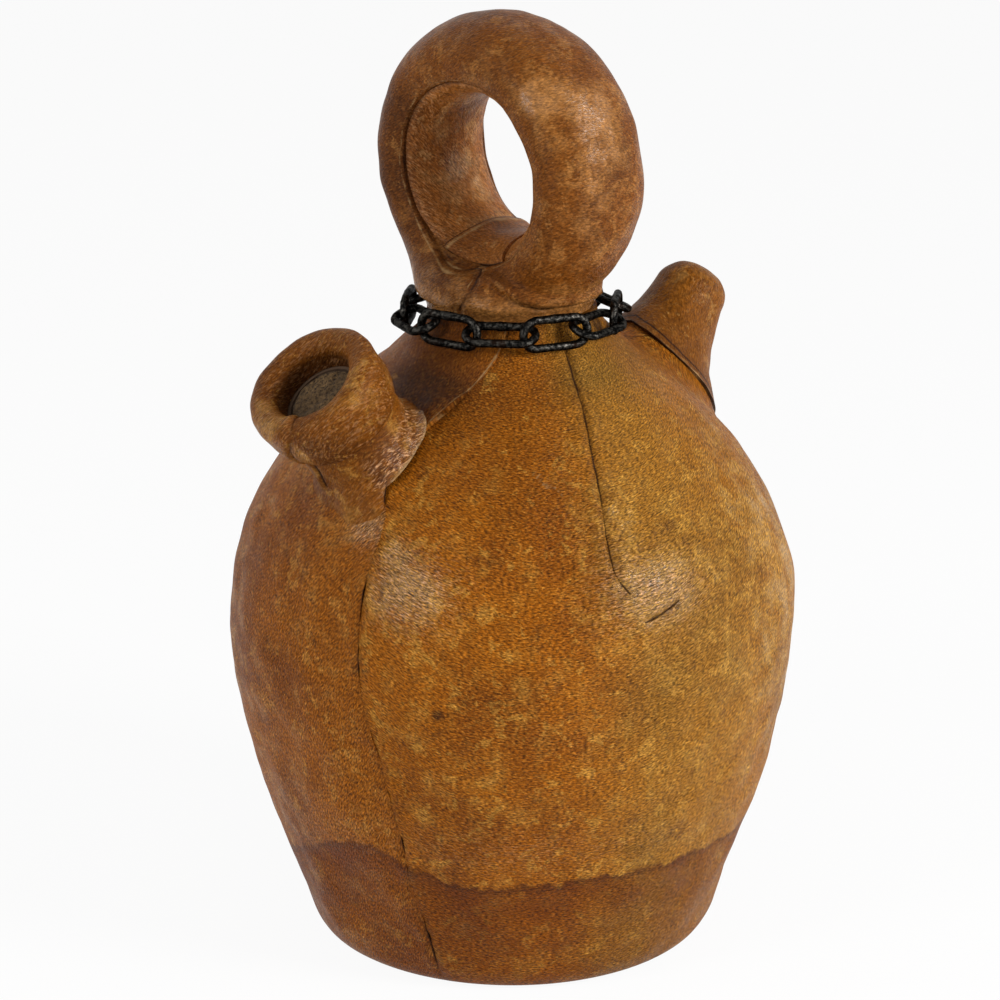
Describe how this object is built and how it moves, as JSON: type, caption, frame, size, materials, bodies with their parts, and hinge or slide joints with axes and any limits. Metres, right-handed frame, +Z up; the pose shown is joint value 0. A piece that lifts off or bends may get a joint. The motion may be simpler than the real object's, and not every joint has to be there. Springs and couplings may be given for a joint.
{
  "type": "leather-covered water flask",
  "caption": "Egg-shaped earthenware water flask in sewn leather, with a ring handle, a corked filling mouth, a drinking spout and an iron chain round its neck.",
  "frame": {"origin": "centre of the flat base, on the ground", "axes": "+Z up; the filling mouth leans to -X, the spout to +X, the ring handle stands in the YZ plane"},
  "size_m": [0.2126, 0.1992, 0.3282],
  "materials": {
    "clay": "unglazed, matte",
    "tan_leather": "worn, half glossy",
    "sole_leather": "worn, dark",
    "mouth_leather": "worn, half glossy",
    "cork": "rough, matte",
    "iron": "blackened, satin"
  },
  "bodies": {
    "vessel": {"clay_body": "clay", "clay_handle": "clay", "clay_mouth": "clay", "clay_spout": "clay", "base_sole": "sole_leather", "front_panel": "tan_leather", "back_panel": "tan_leather", "mouth_sleeve": "mouth_leather", "spout_sleeve": "tan_leather", "handle_cover": "tan_leather", "handle_lining": "tan_leather", "handle_saddle": "tan_leather"},
    "stopper": {"cork_stopper": "cork"},
    "link_01": {"chain_link_01": "iron"},
    "link_02": {"chain_link_02": "iron"},
    "link_03": {"chain_link_03": "iron"},
    "link_04": {"chain_link_04": "iron"},
    "link_05": {"chain_link_05": "iron"},
    "link_06": {"chain_link_06": "iron"},
    "link_07": {"chain_link_07": "iron"},
    "link_08": {"chain_link_08": "iron"},
    "link_09": {"chain_link_09": "iron"},
    "link_10": {"chain_link_10": "iron"},
    "link_11": {"chain_link_11": "iron"},
    "link_12": {"chain_link_12": "iron"}
  },
  "joints": [
    {"name": "stopper_pull", "type": "slide", "parent": "vessel", "child": "stopper", "axis": [-0.6428, 0, 0.766], "range_m": [0, 0.042]},
    {"name": "chain_turn", "type": "hinge", "parent": "vessel", "child": "link_01", "pos_m": [0, 0, 0.22476], "axis": [0, 0, 1], "continuous": true},
    {"name": "link_roll_02", "type": "hinge", "parent": "link_01", "child": "link_02", "pos_m": [0.02778, 0.02298, 0.22476], "axis": [-0.6374, 0.7705, 0], "range_deg": [-5, 5]},
    {"name": "link_roll_03", "type": "hinge", "parent": "link_01", "child": "link_03", "pos_m": [0.01256, 0.03379, 0.22476], "axis": [-0.9373, 0.3486, 0], "range_deg": [-5, 5]},
    {"name": "link_roll_04", "type": "hinge", "parent": "link_01", "child": "link_04", "pos_m": [-0.00601, 0.03554, 0.22476], "axis": [-0.986, -0.1668, 0], "range_deg": [-5, 5]},
    {"name": "link_roll_05", "type": "hinge", "parent": "link_01", "child": "link_05", "pos_m": [-0.02298, 0.02778, 0.22476], "axis": [-0.7705, -0.6374, 0], "range_deg": [-5, 5]},
    {"name": "link_roll_06", "type": "hinge", "parent": "link_01", "child": "link_06", "pos_m": [-0.03379, 0.01256, 0.22476], "axis": [-0.3486, -0.9373, 0], "range_deg": [-5, 5]},
    {"name": "link_roll_07", "type": "hinge", "parent": "link_01", "child": "link_07", "pos_m": [-0.03554, -0.00601, 0.22476], "axis": [0.1668, -0.986, 0], "range_deg": [-5, 5]},
    {"name": "link_roll_08", "type": "hinge", "parent": "link_01", "child": "link_08", "pos_m": [-0.02778, -0.02298, 0.22476], "axis": [0.6374, -0.7705, 0], "range_deg": [-5, 5]},
    {"name": "link_roll_09", "type": "hinge", "parent": "link_01", "child": "link_09", "pos_m": [-0.01256, -0.03379, 0.22476], "axis": [0.9373, -0.3486, 0], "range_deg": [-5, 5]},
    {"name": "link_roll_10", "type": "hinge", "parent": "link_01", "child": "link_10", "pos_m": [0.00601, -0.03554, 0.22476], "axis": [0.986, 0.1668, 0], "range_deg": [-5, 5]},
    {"name": "link_roll_11", "type": "hinge", "parent": "link_01", "child": "link_11", "pos_m": [0.02298, -0.02778, 0.22476], "axis": [0.7705, 0.6374, 0], "range_deg": [-5, 5]},
    {"name": "link_roll_12", "type": "hinge", "parent": "link_01", "child": "link_12", "pos_m": [0.03379, -0.01256, 0.22476], "axis": [0.3486, 0.9373, 0], "range_deg": [-5, 5]}
  ]
}
